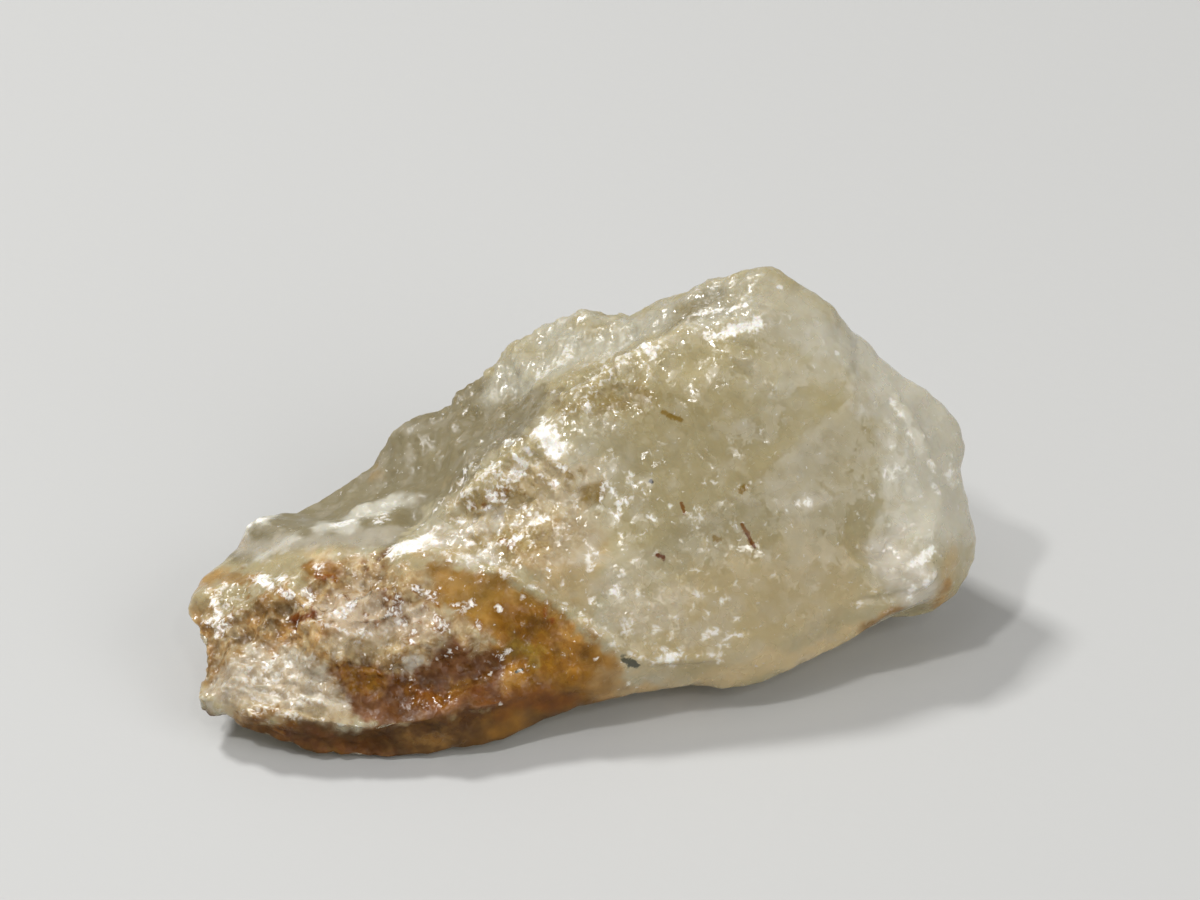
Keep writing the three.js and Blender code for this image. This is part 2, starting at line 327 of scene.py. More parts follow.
PATCHES = (
    Patch("olive under the ridge", (600, 425), (680, 395), 1.0, Hue.OLIVE, 0.15, 0.8),
    Patch("warm under the ridge", (620, 385), (700, 372), 0.9, Hue.OLIVE, 0.14, 1.0),
    Patch("orange fleck, top", (497, 492), (506, 490), 0.14, Hue.AMBER, 0.8, 0.8),
    Patch("orange fleck, left", (474, 508), (484, 505), 0.13, Hue.AMBER, 0.8, 0.8),
    Patch("orange fleck, low", (503, 540), (510, 545), 0.14, Hue.AMBER, 0.8, 0.8),
    Patch("orange fleck, right", (520, 486), (526, 492), 0.13, Hue.AMBER, 0.7, 0.8),
    Patch("orange fleck in the honey", (545, 612), (552, 620), 0.12, Hue.AMBER, 0.8, 0.8),
    Patch("mist on the summit", (745, 290), (820, 335), 1.1, Hue.MIST, 0.4),
    Patch("mist on the rear ridge", (500, 385), (650, 325), 1.0, Hue.MIST, 0.7),
    Patch("gold in the flank", (472, 500), (525, 486), 0.5, Hue.GOLD, 0.5, 1.2),
    Patch("gold beside the window", (578, 480), (598, 502), 0.4, Hue.GOLD, 0.65, 1.0),
    Patch("olive under the flank", (505, 548), (590, 535), 0.7, Hue.OLIVE, 0.4, 0.9),
    Patch("olive at the top of the window", (565, 408), (640, 396), 0.45, Hue.GOLD, 0.4, 1.0),
    Patch("milky facet on the flank", (438, 542), (496, 520), 0.5, Hue.PEARL, 0.75, 0.9),
    Patch("milky facet, low", (470, 562), (490, 556), 0.4, Hue.PEARL, 0.7, 0.8),
    Patch("glint beside the window", (602, 500), (612, 494), 0.14, Hue.FROST_AND_GLARE, 0.95, 0.6),
    Patch("tan strip under the honey", (612, 690), (690, 690), 0.7, Hue.TAN, 0.8, 0.6),
    Patch("cream on the low strip", (690, 686), (860, 640), 0.7, Hue.CREAM, 0.85, 0.5),
    Patch("umber in the foot", (290, 738), (380, 745), 0.5, Hue.UMBER, 0.5, 1.2),
    Patch("honey in the foot", (500, 715), (600, 700), 0.6, Hue.HONEY, 0.5, 1.0),
    Patch("honey in the foot, left", (235, 722), (285, 722), 0.4, Hue.HONEY, 0.6, 1.2),
    Patch("tan in the foot", (410, 738), (450, 742), 0.35, Hue.TAWNY, 0.5, 1.0),
    Patch("tan lobe side", (200, 645), (212, 668), 0.6, Hue.TAWNY, 0.4, 0.8),
    Patch("tawny lobe top", (262, 596), (280, 594), 0.5, Hue.TAWNY, 0.6, 1.0),
    Patch("tawny lobe middle", (262, 622), (325, 632), 0.6, Hue.TAWNY, 0.6, 1.1),
    Patch("line under the brow", (388, 552), (369, 568), 0.13, Hue.UMBER, 0.7, 0.8),
    Patch("line beside the brow", (369, 568), (363, 590), 0.13, Hue.UMBER, 0.6, 0.8),
    Patch("umber spots under the brow", (372, 590), (405, 600), 0.5, Hue.UMBER, 0.6, 3.0, 1.4),
    Patch("honey in the hollow", (345, 676), (372, 682), 0.6, Hue.HONEY, 0.85, 0.8),
    Patch("tawny in the hollow, right", (455, 690), (480, 684), 0.35, Hue.TAWNY, 0.5, 1.2),
    Patch("brown in the hollow", (400, 690), (440, 700), 0.4, Hue.BROWN, 0.7, 1.2),
    Patch("crumbs over the hollow", (435, 640), (485, 660), 0.7, Hue.FROST_AND_GLARE, 0.5, 3.5, 1.8),
    Patch("deep honey", (515, 635), (545, 655), 0.8, Hue.HONEY, 0.8, 0.5),
    Patch("olive in the honey", (515, 645), (535, 655), 0.4, Hue.OLIVE, 0.6, 0.6),
    Patch("pale honey", (565, 645), (575, 655), 0.5, Hue.TAWNY, 0.6, 0.8),
    Patch("amber bulge", (312, 572), (332, 571), 0.5, Hue.HONEY, 0.9, 0.6),
    Patch("amber in the bulge", (318, 577), (332, 575), 0.16, Hue.AMBER, 0.6, 0.8),
    Patch("glint on the bulge", (316, 567), (322, 566), 0.12, Hue.FROST_AND_GLARE, 0.9, 0.8),
    Patch("brown spots in the crust", (335, 600), (440, 630), 1.1, Hue.BROWN, 0.7, 3.0, 1.1),
    Patch("honey spots on the lobe", (215, 625), (320, 600), 1.1, Hue.HONEY, 0.55, 3.0, 1.6),
    Patch("brown between the hollow and the honey", (488, 698), (560, 703), 0.6, Hue.UMBER, 0.75, 0.6),
    Patch("white crumbs in the crust", (335, 606), (432, 628), 0.8, Hue.FROST_AND_GLARE, 0.6, 3.0, 1.3),
    Patch("tan on the lobe's top", (222, 577), (250, 581), 0.4, Hue.TAWNY, 0.6, 1.0),
    Patch("pale crystal on the lobe's top", (262, 578), (274, 584), 0.34, Hue.FROST_AND_GLARE, 0.85, 1.2),
    Patch("pale crystal over the rust", (294, 593), (306, 598), 0.3, Hue.FROST_AND_GLARE, 0.7, 1.2),
    Patch("rust speck", (296, 619), (309, 616), 0.32, Hue.RUST, 0.95, 0.6),
    Patch("amber in the crust", (368, 622), (384, 620), 0.2, Hue.UMBER, 0.7, 0.8),
    Patch("gold in the crust", (356, 592), (372, 590), 0.24, Hue.OCHRE, 0.7, 0.8),
    Patch("pale crystal in the hollow", (404, 664), (422, 660), 0.3, Hue.PEARL, 0.8, 0.8),
    Patch("blush under the crust", (330, 648), (390, 644), 0.5, Hue.BEIGE, 0.7, 0.8),
    Patch("pearly knob", (895, 560), (925, 595), 1.1, Hue.PEARL, 0.95, 0.3),
    Patch("crumbs on the knob", (890, 600), (925, 560), 0.9, Hue.FROST_AND_GLARE, 0.5, 3.0, 1.3),
    Patch("honey side of the knob", (952, 556), (942, 600), 0.62, Hue.BEIGE, 0.85, 0.4),
    Patch("honey rim of the knob", (946, 584), (938, 606), 0.3, Hue.TAWNY, 0.75, 0.6),
    Patch("honey wedge", (870, 632), (905, 626), 0.4, Hue.HONEY, 0.8, 0.4),
    Patch("wisp by the sliver", (705, 520), (745, 552), 0.7, Hue.FROST_AND_GLARE, 0.5, 3.5, 1.7),
    Patch("oval scar", (788, 508), (820, 496), 0.36, Hue.PEARL, 0.35, 0.8),
    Patch("glint in the scar", (798, 503), (806, 501), 0.14, Hue.FROST_AND_GLARE, 0.7, 0.8),
    Patch("glint by the scar", (776, 513), (786, 511), 0.1, Hue.FROST_AND_GLARE, 0.7, 0.8),
    Patch("milky lower window", (600, 590), (715, 632), 1.0, Hue.PEARL, 0.3, 1.2),
    Patch("white crumbs by the edge", (600, 595), (650, 640), 0.8, Hue.FROST_AND_GLARE, 0.62, 3.5, 1.6),
    Patch("white crumbs, low", (650, 640), (725, 628), 0.8, Hue.FROST_AND_GLARE, 0.62, 3.5, 1.6),
    Patch("white crumbs, middle", (680, 575), (740, 600), 0.9, Hue.FROST_AND_GLARE, 0.5, 3.5, 1.9),
    Patch("white crumbs by the flank", (605, 490), (632, 545), 0.8, Hue.FROST_AND_GLARE, 0.6, 3.5, 1.6),
    Patch("milky flank", (600, 500), (560, 560), 0.8, Hue.PEARL, 0.25, 1.8),
    Patch("glare on the knee", (541, 428), (552, 450), 0.5, Hue.FROST_AND_GLARE, 0.95, 0.8),
    Patch("glare below the knee", (520, 465), (490, 490), 0.35, Hue.FROST_AND_GLARE, 0.6, 1.3),
    Patch("glare at the ridge's end", (396, 550), (424, 540), 0.45, Hue.FROST_AND_GLARE, 1.0, 0.6),
    Patch("glare along the ridge", (552, 430), (596, 384), 0.16, Hue.FROST_AND_GLARE, 0.5, 1.8),
    Patch("glare on the flank", (455, 520), (510, 470), 0.9, Hue.FROST_AND_GLARE, 0.75, 3.0, 1.0),
    Patch("glare on the flank, low", (480, 550), (545, 505), 0.9, Hue.FROST_AND_GLARE, 0.7, 3.0, 1.2),
    Patch("amber on the flank", (470, 500), (530, 496), 0.6, Hue.AMBER, 0.5, 3.0, 1.6),
    Patch("brown on the flank", (584, 484), (602, 497), 0.3, Hue.GOLD, 0.6, 1.2),
    Patch("crumbs under the flank", (545, 590), (590, 560), 0.8, Hue.FROST_AND_GLARE, 0.55, 3.5, 1.7),
    Patch("thin glare on the ridge", (600, 379), (636, 355), 0.12, Hue.FROST_AND_GLARE, 0.5, 1.6),
    Patch("glare on the ridge", (638, 352), (658, 343), 0.24, Hue.FROST_AND_GLARE, 0.85, 1.0),
    # Painted highlights: bright streaks of light along the cap.
    Patch("painted highlight on the cap", (708, 336), (758, 324), 0.22, Hue.FROST_AND_GLARE, 0.9, 0.8),
    Patch("thin painted highlight on the cap", (695, 314), (745, 306), 0.12, Hue.FROST_AND_GLARE, 0.9, 0.6),
    Patch("glare on the left end", (214, 590), (218, 625), 0.4, Hue.FROST_AND_GLARE, 0.65, 1.0),
    Patch("glare on the shelf", (250, 672), (285, 668), 0.4, Hue.FROST_AND_GLARE, 0.45, 1.3),
    Patch("crumbs on the honey", (430, 575), (480, 605), 0.8, Hue.FROST_AND_GLARE, 0.6, 3.5, 1.6),
    Patch("light on the rim, top", (440, 548), (500, 571), 0.14, Hue.FROST_AND_GLARE, 0.5, 1.6),
    Patch("light on the rim, middle", (500, 571), (562, 604), 0.12, Hue.FROST_AND_GLARE, 0.4, 1.7),
    Patch("light on the rim, low", (562, 604), (622, 643), 0.12, Hue.FROST_AND_GLARE, 0.4, 1.7),
    Patch("glare on the crust", (338, 614), (352, 606), 0.26, Hue.FROST_AND_GLARE, 0.8, 0.9),
    Patch("glare along the crust", (326, 624), (372, 636), 0.16, Hue.FROST_AND_GLARE, 0.6, 1.2),
    # Painted soft highlights: the pale places behind the lobe stand for soft light on the rear slope.
    Patch("painted soft highlight behind, left", (246, 526), (272, 514), 0.5, Hue.HAZE, 0.95, 0.6),
    Patch("glare behind, left", (250, 524), (258, 520), 0.3, Hue.FROST_AND_GLARE, 0.8, 0.6),
    Patch("pale strip behind the lobe", (245, 548), (390, 532), 0.6, Hue.PEARL, 0.45, 0.8),
    # Painted soft highlight on the rear slope.
    Patch("painted soft highlight behind the lobe", (335, 525), (390, 505), 0.7, Hue.HAZE, 0.95, 0.8),
    Patch("glare behind the lobe", (340, 524), (352, 520), 0.3, Hue.FROST_AND_GLARE, 0.7, 0.8),
    Patch("glare behind the lobe, right", (382, 520), (388, 508), 0.3, Hue.FROST_AND_GLARE, 0.6, 1.0),
    Patch("glare on the rear ridge", (540, 374), (572, 352), 0.35, Hue.FROST_AND_GLARE, 0.5, 0.8),
    Patch("glare on the low edge", (655, 662), (672, 656), 0.2, Hue.FROST_AND_GLARE, 0.95, 0.4),
    # Painted highlights: a bright line of light along the bevel ridge.
    Patch("painted highlight on the bevel", (908, 430), (922, 452), 0.12, Hue.FROST_AND_GLARE, 0.9, 0.8),
    Patch("top of the painted highlight on the bevel", (893, 403), (903, 418), 0.12, Hue.FROST_AND_GLARE, 0.7, 1.2),
    Patch("crumbs by the bevel", (890, 465), (950, 472), 0.7, Hue.FROST_AND_GLARE, 0.6, 3.5, 1.6),
    Patch("glare on the right end", (945, 475), (952, 482), 0.3, Hue.FROST_AND_GLARE, 0.5, 0.5),
    Patch("upper glare of the knob", (914, 562), (930, 552), 0.26, Hue.FROST_AND_GLARE, 0.95, 0.8),
    Patch("lower glare of the knob", (914, 590), (926, 584), 0.24, Hue.FROST_AND_GLARE, 0.95, 0.8),
    Patch("light on the low edge", (612, 646), (652, 661), 0.12, Hue.FROST_AND_GLARE, 0.5, 1.2),
    Patch("light on the low edge, right", (672, 657), (716, 655), 0.1, Hue.FROST_AND_GLARE, 0.6, 1.0),
)


@dataclass(frozen=True)
class Field:
    """A stretch of one colour inside an outline. The border's width and raggedness are in pixels."""

    name: str
    outline: tuple[tuple[float, float], ...]
    hue: Hue
    strength: float = 0.85
    border: float = 12.0
    ragged: float = 8.0

    def inside(self, pixels: np.ndarray) -> np.ndarray:
        """Measures how far pixels lie inside the outline.

        The distance is to the nearest of the outline's sides. A pixel is inside when a line from it to the
        left crosses the sides an odd number of times.

        Args:
            pixels: one row each.

        Returns:
            One distance in pixels for each row, below 0 outside.
        """
        nearest = np.full(len(pixels), np.inf)
        odd = np.zeros(len(pixels), dtype=bool)
        corners = np.array(self.outline, dtype=float)
        for start, end in zip(corners, np.roll(corners, -1, axis=0)):
            run = end - start
            along = np.clip((pixels - start) @ run / (run @ run), 0.0, 1.0)
            nearest = np.minimum(nearest, np.linalg.norm(pixels - start - along[:, None] * run, axis=1))
            if run[1] != 0.0:
                crossing = start[0] + (pixels[:, 1] - start[1]) / run[1] * run[0]
                beside = (pixels[:, 1] < start[1]) != (pixels[:, 1] < end[1])
                odd ^= beside & (crossing < pixels[:, 0])
        return np.where(odd, nearest, -nearest)


@dataclass(frozen=True)
class Spot:
    """A stain or a pale place out of the photograph's sight: its middle and its reach, in millimetres."""

    name: str
    at: tuple[float, float, float]
    reach: float
    hue: Hue
    strength: float = 0.6
    ragged: float = 0.8


SPOTS = (
    Spot("mist high on the back", (2.0, 5.0, 7.0), 3.0, Hue.MIST),
    Spot("mist in the middle of the back", (-1.5, 5.5, 4.0), 2.2, Hue.MIST, 0.5),
    Spot("smoke on the back", (6.0, 4.5, 3.5), 3.0, Hue.SMOKE),
    Spot("shade low on the back", (0.5, 6.0, 1.5), 2.6, Hue.SHADE, 0.5),
    Spot("beige behind the right end", (9.5, 2.5, 3.0), 2.2, Hue.BEIGE),
    Spot("tan low on the back", (-5.5, 3.8, 1.5), 2.2, Hue.TAN),
    Spot("tan high on the back", (4.5, 4.0, 6.0), 1.4, Hue.TAN, 0.5, 1.2),
    Spot("tawny behind the lobe", (-9.8, -1.5, 1.6), 1.8, Hue.TAWNY, 0.7),
    Spot("brown behind the foot", (-9.5, -2.0, 0.3), 1.5, Hue.BROWN, 0.8),
    Spot("honey low on the back", (3.5, 5.8, 0.8), 1.2, Hue.HONEY, 0.5, 1.2),
    Spot("pearl on the back", (-3.6, 4.6, 3.2), 0.8, Hue.FROST_AND_GLARE, 0.7, 1.2),
    Spot("pearl by the back's edge", (1.5, 5.8, 5.2), 0.7, Hue.FROST_AND_GLARE, 0.6, 1.4),
    Spot("pearl low on the back", (-1.0, 6.0, 1.6), 0.6, Hue.FROST_AND_GLARE, 0.5, 1.4),
)

FIELDS = (
    Field(
        "smoky window",
        ((600, 430), (680, 385), (770, 385), (845, 430), (868, 510), (850, 590), (790, 640), (700, 600),
         (620, 520)),
        Hue.SMOKE, 0.7, 60.0, 20.0,
    ),
    # Own pale grey-green of the thin right side, painted lighter against the shade it lies in: part own
    # colour, part painted light.
    Field(
        "misty right side, painted lighter",
        ((800, 320), (850, 375), (888, 440), (885, 520), (905, 545), (990, 560), (990, 400), (860, 320)),
        Hue.HAZE, 0.85, 46.0, 18.0,
    ),
    Field(
        "rear slope",
        ((200, 560), (230, 500), (480, 370), (560, 390), (535, 425), (440, 505), (395, 545), (330, 545),
         (250, 570)),
        Hue.SHADE, 0.85, 10.0, 8.0,
    ),
    Field(
        "behind the cap",
        ((610, 350), (650, 318), (715, 285), (735, 300), (690, 320), (650, 335)),
        Hue.SHADE, 0.6,
    ),
    Field(
        "flank",
        ((430, 545), (455, 505), (545, 440), (590, 470), (600, 540), (560, 595), (505, 573), (470, 560)),
        Hue.BEIGE, 0.7, 26.0, 16.0,
    ),
    Field(
        "lobe",
        ((185, 600), (215, 572), (300, 548), (345, 553), (390, 560), (440, 556), (450, 600), (500, 640),
         (512, 690), (455, 712), (335, 725), (237, 722), (205, 695), (180, 640)),
        Hue.BUFF, 0.88, 20.0, 12.0,
    ),
    Field(
        "top of the lobe",
        ((190, 600), (212, 570), (300, 548), (310, 575), (285, 600), (250, 612), (215, 615)),
        Hue.CLOUD, 0.8, 20.0, 12.0,
    ),
    Field(
        "honey",
        ((425, 562), (470, 567), (505, 577), (550, 603), (592, 636), (618, 660), (622, 698), (600, 708),
         (560, 712), (505, 715), (490, 690), (500, 660), (475, 625), (440, 606)),
        Hue.TAWNY, 0.95, 10.0, 7.0,
    ),
    Field(
        "upper honey facet",
        ((425, 560), (470, 566), (505, 576), (552, 602), (560, 622), (520, 606), (480, 622), (440, 608)),
        Hue.OCHRE, 0.7, 20.0, 14.0,
    ),
    Field(
        "deep honey",
        ((495, 606), (525, 600), (560, 620), (592, 644), (608, 668), (600, 698), (560, 704), (515, 704),
         (500, 660)),
        Hue.HONEY, 0.85, 20.0, 12.0,
    ),
    Field(
        "umber",
        ((334, 672), (348, 665), (368, 659), (376, 666), (408, 672), (430, 660), (455, 642), (478, 650),
         (500, 660), (506, 680), (508, 714), (455, 724), (418, 730), (383, 732), (354, 722), (340, 690)),
        Hue.UMBER, 0.9, 14.0, 12.0,
    ),
    Field(
        "crust",
        ((312, 608), (335, 590), (362, 586), (400, 592), (432, 618), (440, 638), (415, 648), (385, 642),
         (350, 652), (322, 640)),
        Hue.BLUSH, 0.8, 14.0, 14.0,
    ),
    Field(
        "shelf",
        ((212, 672), (238, 652), (272, 642), (305, 650), (332, 668), (344, 692), (348, 720), (323, 720),
         (297, 716), (288, 722), (253, 716), (233, 722), (205, 704)),
        Hue.PEARL, 0.6, 12.0, 12.0,
    ),
    Field(
        "lip of the shelf",
        ((220, 704), (262, 702), (335, 708), (352, 714), (350, 725), (323, 722), (297, 718), (288, 725),
         (253, 718), (233, 725)),
        Hue.BEIGE, 0.7, 10.0, 6.0,
    ),
    # Own orange-brown of the underside, painted darker for the shade under the overhang: part stain, part
    # painted shade.
    Field(
        "foot",
        ((180, 704), (213, 713), (233, 726), (253, 719), (288, 726), (297, 719), (323, 723), (354, 728),
         (383, 725), (418, 719), (455, 713), (505, 703), (560, 694), (610, 694), (650, 698), (650, 760),
         (300, 790), (180, 760)),
        Hue.EARTH, 0.97, 8.0, 4.0,
    ),
    Field(
        "pale lower window",
        ((610, 610), (700, 560), (850, 545), (872, 600), (820, 655), (720, 692), (640, 692)),
        Hue.CREAM, 0.4, 50.0, 20.0,
    ),
    Field(
        "warm corner by the flank",
        ((505, 545), (560, 515), (612, 540), (606, 600), (588, 626), (545, 595), (508, 572)),
        Hue.TAN, 0.4, 24.0, 14.0,
    ),
)


@dataclass(frozen=True)
class Crease:
    """A groove along pixels, or a rib where its depth is below 0. Width and depth are millimetres."""

    name: str
    line: tuple[tuple[float, float], ...]
    width: float
    depth: float


CREASES = (
    Crease("beside the brow", ((390, 551), (369, 568), (363, 590)), 0.13, 0.12),
    Crease("beside the rust", ((285, 610), (305, 608), (322, 614)), 0.16, 0.14),
    Crease("under the crust", ((333, 672), (348, 665), (368, 660), (375, 666), (404, 668)), 0.15, 0.12),
    Crease(
        "rim of the honey hollow",
        ((436, 553), (505, 573), (550, 600), (598, 637), (650, 660), (716, 656)),
        0.17, -0.1,
    ),
    Crease(
        "main ridge",
        ((745, 322), (655, 343), (600, 375), (545, 437), (455, 505), (400, 550)),
        0.17, -0.06,
    ),
    Crease("behind the ridge", ((590, 375), (536, 425), (445, 497), (392, 540)), 0.3, 0.1),
    Crease("bevel ridge", ((893, 403), (908, 425), (922, 452)), 0.14, -0.09),
    Crease("round the knob", ((886, 606), (874, 590), (869, 562), (882, 541), (910, 530)), 0.18, 0.06),
    Crease("fold under the knob's boss", ((872, 592), (890, 587), (912, 581), (926, 577)), 0.22, -0.14),
    Crease("boss of the knob", ((904, 566), (918, 572)), 0.5, -0.1),
    Crease(
        "scar",
        ((780, 512), (790, 496), (815, 490), (826, 498), (812, 512), (790, 516), (780, 512)),
        0.1, -0.035,
    ),
)


@dataclass(frozen=True)
class Inclusion:
    """A small grain shut in under the surface, or a painted glint where it is white: the pixels of its two
    ends, and its width in millimetres.
    """

    name: str
    start: tuple[float, float]
    end: tuple[float, float]
    width: float
    hue: Hue


INCLUSIONS = (
    Inclusion("needle", (663, 412), (681, 420), 0.07, Hue.GOLD),
    Inclusion("brown sliver", (742, 524), (754, 546), 0.06, Hue.BROWN),
    # Painted shadow: a dark line along the sliver's side.
    Inclusion("painted shadow beside the sliver", (746, 534), (755, 548), 0.03, Hue.UMBER),
    Inclusion("golden grain", (740, 491), (745, 488), 0.09, Hue.GOLD),
    Inclusion("dark red grain", (657, 555), (663, 557), 0.07, Hue.RUST),
    Inclusion("black grain", (651, 481), (652, 482), 0.045, Hue.INK),
    Inclusion("amber dash", (681, 503), (684, 512), 0.05, Hue.BROWN),
    Inclusion("small brown grain", (714, 537), (718, 540), 0.07, Hue.GOLD),
    Inclusion("moss grain", (624, 660), (636, 665), 0.09, Hue.MOSS),
    Inclusion("dark grain", (516, 672), (522, 670), 0.05, Hue.MOSS),
    # Painted glints: two tiny white dots of light, not grains.
    Inclusion("painted glint, cap", (779, 287), (781, 288), 0.06, Hue.FROST_AND_GLARE),
    Inclusion("painted glint, bevel", (836, 352), (838, 353), 0.06, Hue.FROST_AND_GLARE),
)


# The stone


@dataclass(frozen=True)
class Zone:
    """A part of the surface: its middle and its reach in millimetres, and its character there.

    Chips, ledges and fibres are heights in millimetres. Broken, frost, matt and worn run from 0 to 1.
    """

    name: str
    at: tuple[float, float, float]
    reach: float
    broken: float
    chips: float = 0.0
    ledges: float = 0.0
    fibres: float = 0.0
    frost: float = 0.0
    matt: float = 0.0
    worn: float = 0.0

    def strength(self, points: np.ndarray) -> np.ndarray:
        """Returns how much of the zone's own character each point has, from 0 to 1."""
        return ease(1.5 * (1.0 - np.linalg.norm(points - np.array(self.at), axis=1) / self.reach))


ZONES = (
    Zone("lobe end", (-9.3, -4.1, 2.4), 3.4, 1.0, chips=0.14, frost=0.6),
    Zone("lobe crust", (-6.2, -4.2, 3.0), 3.4, 1.0, chips=0.16, frost=0.6),
    Zone("lobe hollow", (-3.8, -5.2, 2.2), 2.6, 0.9, chips=0.11, frost=0.2),
    Zone("foot", (-6.5, -5.6, 0.6), 3.6, 0.6, chips=0.12),
    Zone("honey hollow", (-1.3, -4.4, 2.6), 2.6, 0.55, chips=0.06, frost=0.15),
    Zone("fibrous shelf", (-8.1, -5.3, 1.9), 2.4, 0.9, fibres=0.13, frost=0.8),
    Zone("stepped flank", (-1.9, -1.3, 5.1), 3.2, 1.0, chips=0.06, ledges=0.09, frost=0.9),
    Zone("ridge", (0.5, 1.0, 8.0), 2.6, 1.0, chips=0.1, ledges=0.08, frost=0.8),
    Zone("summit", (3.7, 2.4, 9.4), 2.4, 0.6, chips=0.03, fibres=0.07, frost=0.4),
    Zone("rear slope", (-5.4, 1.3, 4.1), 5.0, 0.2, chips=0.035, frost=0.1, matt=0.3),
    Zone("rear ridge", (0.5, 4.2, 7.5), 4.0, 0.35, chips=0.05, ledges=0.04, frost=0.2, matt=0.15),
    Zone("back wall", (0.9, 6.2, 3.9), 11.0, 0.45, chips=0.07, ledges=0.07, frost=0.3),
    Zone("knob", (9.4, -1.6, 2.8), 2.0, 0.22, chips=0.05, frost=0.4, worn=1.0),
    Zone("lower window", (1.9, -4.2, 3.4), 2.6, 0.5, chips=0.03, frost=0.12),
)


@dataclass
class HerderiteCrystal:
    """The whole stone, dressed over its CAD solid. Lengths are millimetres; the trace step is in pixels."""

    camera: PhotoCamera
    refine_levels: int = 2
    polished_rounds: int = 16
    crisp_rounds: int = 3
    worn_rounds: int = 60
    crest_rounds: int = 12
    smooth_chips: float = 0.01
    ripple: float = 0.05
    ripple_size: float = 2.2
    table_clearance: float = 0.35
    smoothest: float = 0.06
    roughness_swing: float = 0.3
    dull_roughness: float = 0.4
    trace_step: float = 6.0
    chip_sizes: tuple[float, float, float] = (0.95, 0.45, 0.24)
    chip_fade: float = 0.6
    ledge_pitches: tuple[float, float] = (0.42, 0.2)
    fibre_width: float = 0.28
    streak_width: float = 0.22
    unchipped: float = 0.6
    fibre_run: tuple[float, float, float] = (0.95, -0.15, -0.25)
    ledge_rise: tuple[float, float, float] = (0.42, -0.35, 0.84)
    piece: bpy.types.Object = field(init=False, repr=False, default=None)

    def refined_mesh(self) -> bpy.types.Mesh:
        """Copies the CAD node's mesh, merges its loose corners and splits its faces without rounding them.

        Returns:
            A mesh of the same form, with facets about a tenth of a millimetre long.
        """
        shape = bmesh.new()
        shape.from_mesh(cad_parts[NODE].data)
        bmesh.ops.remove_doubles(shape, verts=shape.verts, dist=1e-7)
        corners = [corner.co.copy() for corner in shape.verts]
        faces = [[corner.index for corner in face.verts] for face in shape.faces]
        shape.free()
        coarse = bpy.data.meshes.new("coarse_crystal")
        coarse.from_pydata(corners, [], faces)
        carrier = bpy.data.objects.new("coarse_crystal", coarse)
        bpy.context.collection.objects.link(carrier)
        finer = carrier.modifiers.new("finer", "SUBSURF")
        finer.subdivision_type = "SIMPLE"
        finer.levels = self.refine_levels
        finer.render_levels = self.refine_levels
        mesh = bpy.data.meshes.new_from_object(carrier.evaluated_get(bpy.context.evaluated_depsgraph_get()))
        bpy.data.objects.remove(carrier)
        bpy.data.meshes.remove(coarse)
        return mesh

    def broken(self, points: np.ndarray) -> np.ndarray:
        """Returns how broken the surface is at each point, from 0 where it is smooth to 1."""
        return np.max([zone.broken * zone.strength(points) for zone in ZONES], axis=0)

    def combed(self, points: np.ndarray) -> np.ndarray:
        """Returns how fibrous the surface is at each point, from 0 to 1."""
        return np.max([zone.strength(points) * (zone.fibres > 0.0) for zone in ZONES], axis=0)

    def relief(self, points: np.ndarray) -> np.ndarray:
        """Works out how far the surface stands proud of the softened facets.

        The height is a long ripple, plus in each zone its chips in three sizes, its ledges and its fibres.
        Each zone takes over where it is the strongest, and fibres leave less of the chips.

        Args:
            points: places in millimetres, one row each.

        Returns:
            One height in millimetres for each point.
        """
        height = self.ripple * octaves(points, self.ripple_size, 11)
        chipped = np.full(len(points), self.smooth_chips)
        stepped = np.zeros(len(points))
        fibrous = np.zeros(len(points))
        for zone in ZONES:
            strength = zone.strength(points)
            chipped = np.maximum(chipped, zone.chips * strength)
            stepped = np.maximum(stepped, zone.ledges * strength)
            fibrous = np.maximum(fibrous, zone.fibres * strength)
        chipped *= 1.0 - self.unchipped * self.combed(points)
        for turn, size in enumerate(self.chip_sizes):
            height += chipped * self.chip_fade**turn * (bowls(points, size, 20 + 2 * turn) - 0.2)
        broad, narrow = self.ledge_pitches
        steps = treads(points, self.ledge_rise, broad, 31)
        steps += 0.5 * treads(points, self.ledge_rise, narrow, 33)
        height += stepped * steps
        height += fibrous * fibres(points, self.fibre_run, self.fibre_width, 37)
        return height * ease(points[:, 2] / self.table_clearance)

    def shape(self) -> bpy.types.Mesh:
        """Makes the fine mesh.

        Every point is averaged with its neighbours, a few times where the stone is broken, often where it
        is smooth and most where it is worn. It then moves along its normal by the relief there, less the
        creases. The result is stretched to fill the solid's box.

        Returns:
            The mesh, in metres.
        """
        mesh = self.refined_mesh()
        points = self.places(mesh)
        crisp = self.smoothed(mesh, points, self.crisp_rounds)
        polished = self.smoothed(mesh, crisp, self.polished_rounds - self.crisp_rounds)
        worn = np.max([zone.worn * zone.strength(points) for zone in ZONES], axis=0)[:, None]
        points = polished + np.minimum(2.0 * self.broken(points), 1.0)[:, None] * (crisp - polished)
        points += worn * (self.smoothed(mesh, polished, self.worn_rounds - self.polished_rounds) - points)
        mesh.vertices.foreach_set("co", (points * MM).ravel())
        mesh.update()
        height = self.relief(points) - self.creased(self.tree(mesh), points)
        points += self.normals(mesh) * height[:, None]
        low, high = (np.array(corner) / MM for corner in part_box(NODE))
        least, most = points.min(axis=0), points.max(axis=0)
        points = low + (points - least) * (high - low) / (most - least)
        mesh.vertices.foreach_set("co", (points * MM).ravel())
        mesh.polygons.foreach_set("use_smooth", np.ones(len(mesh.polygons), dtype=bool))
        mesh.update()
        return mesh

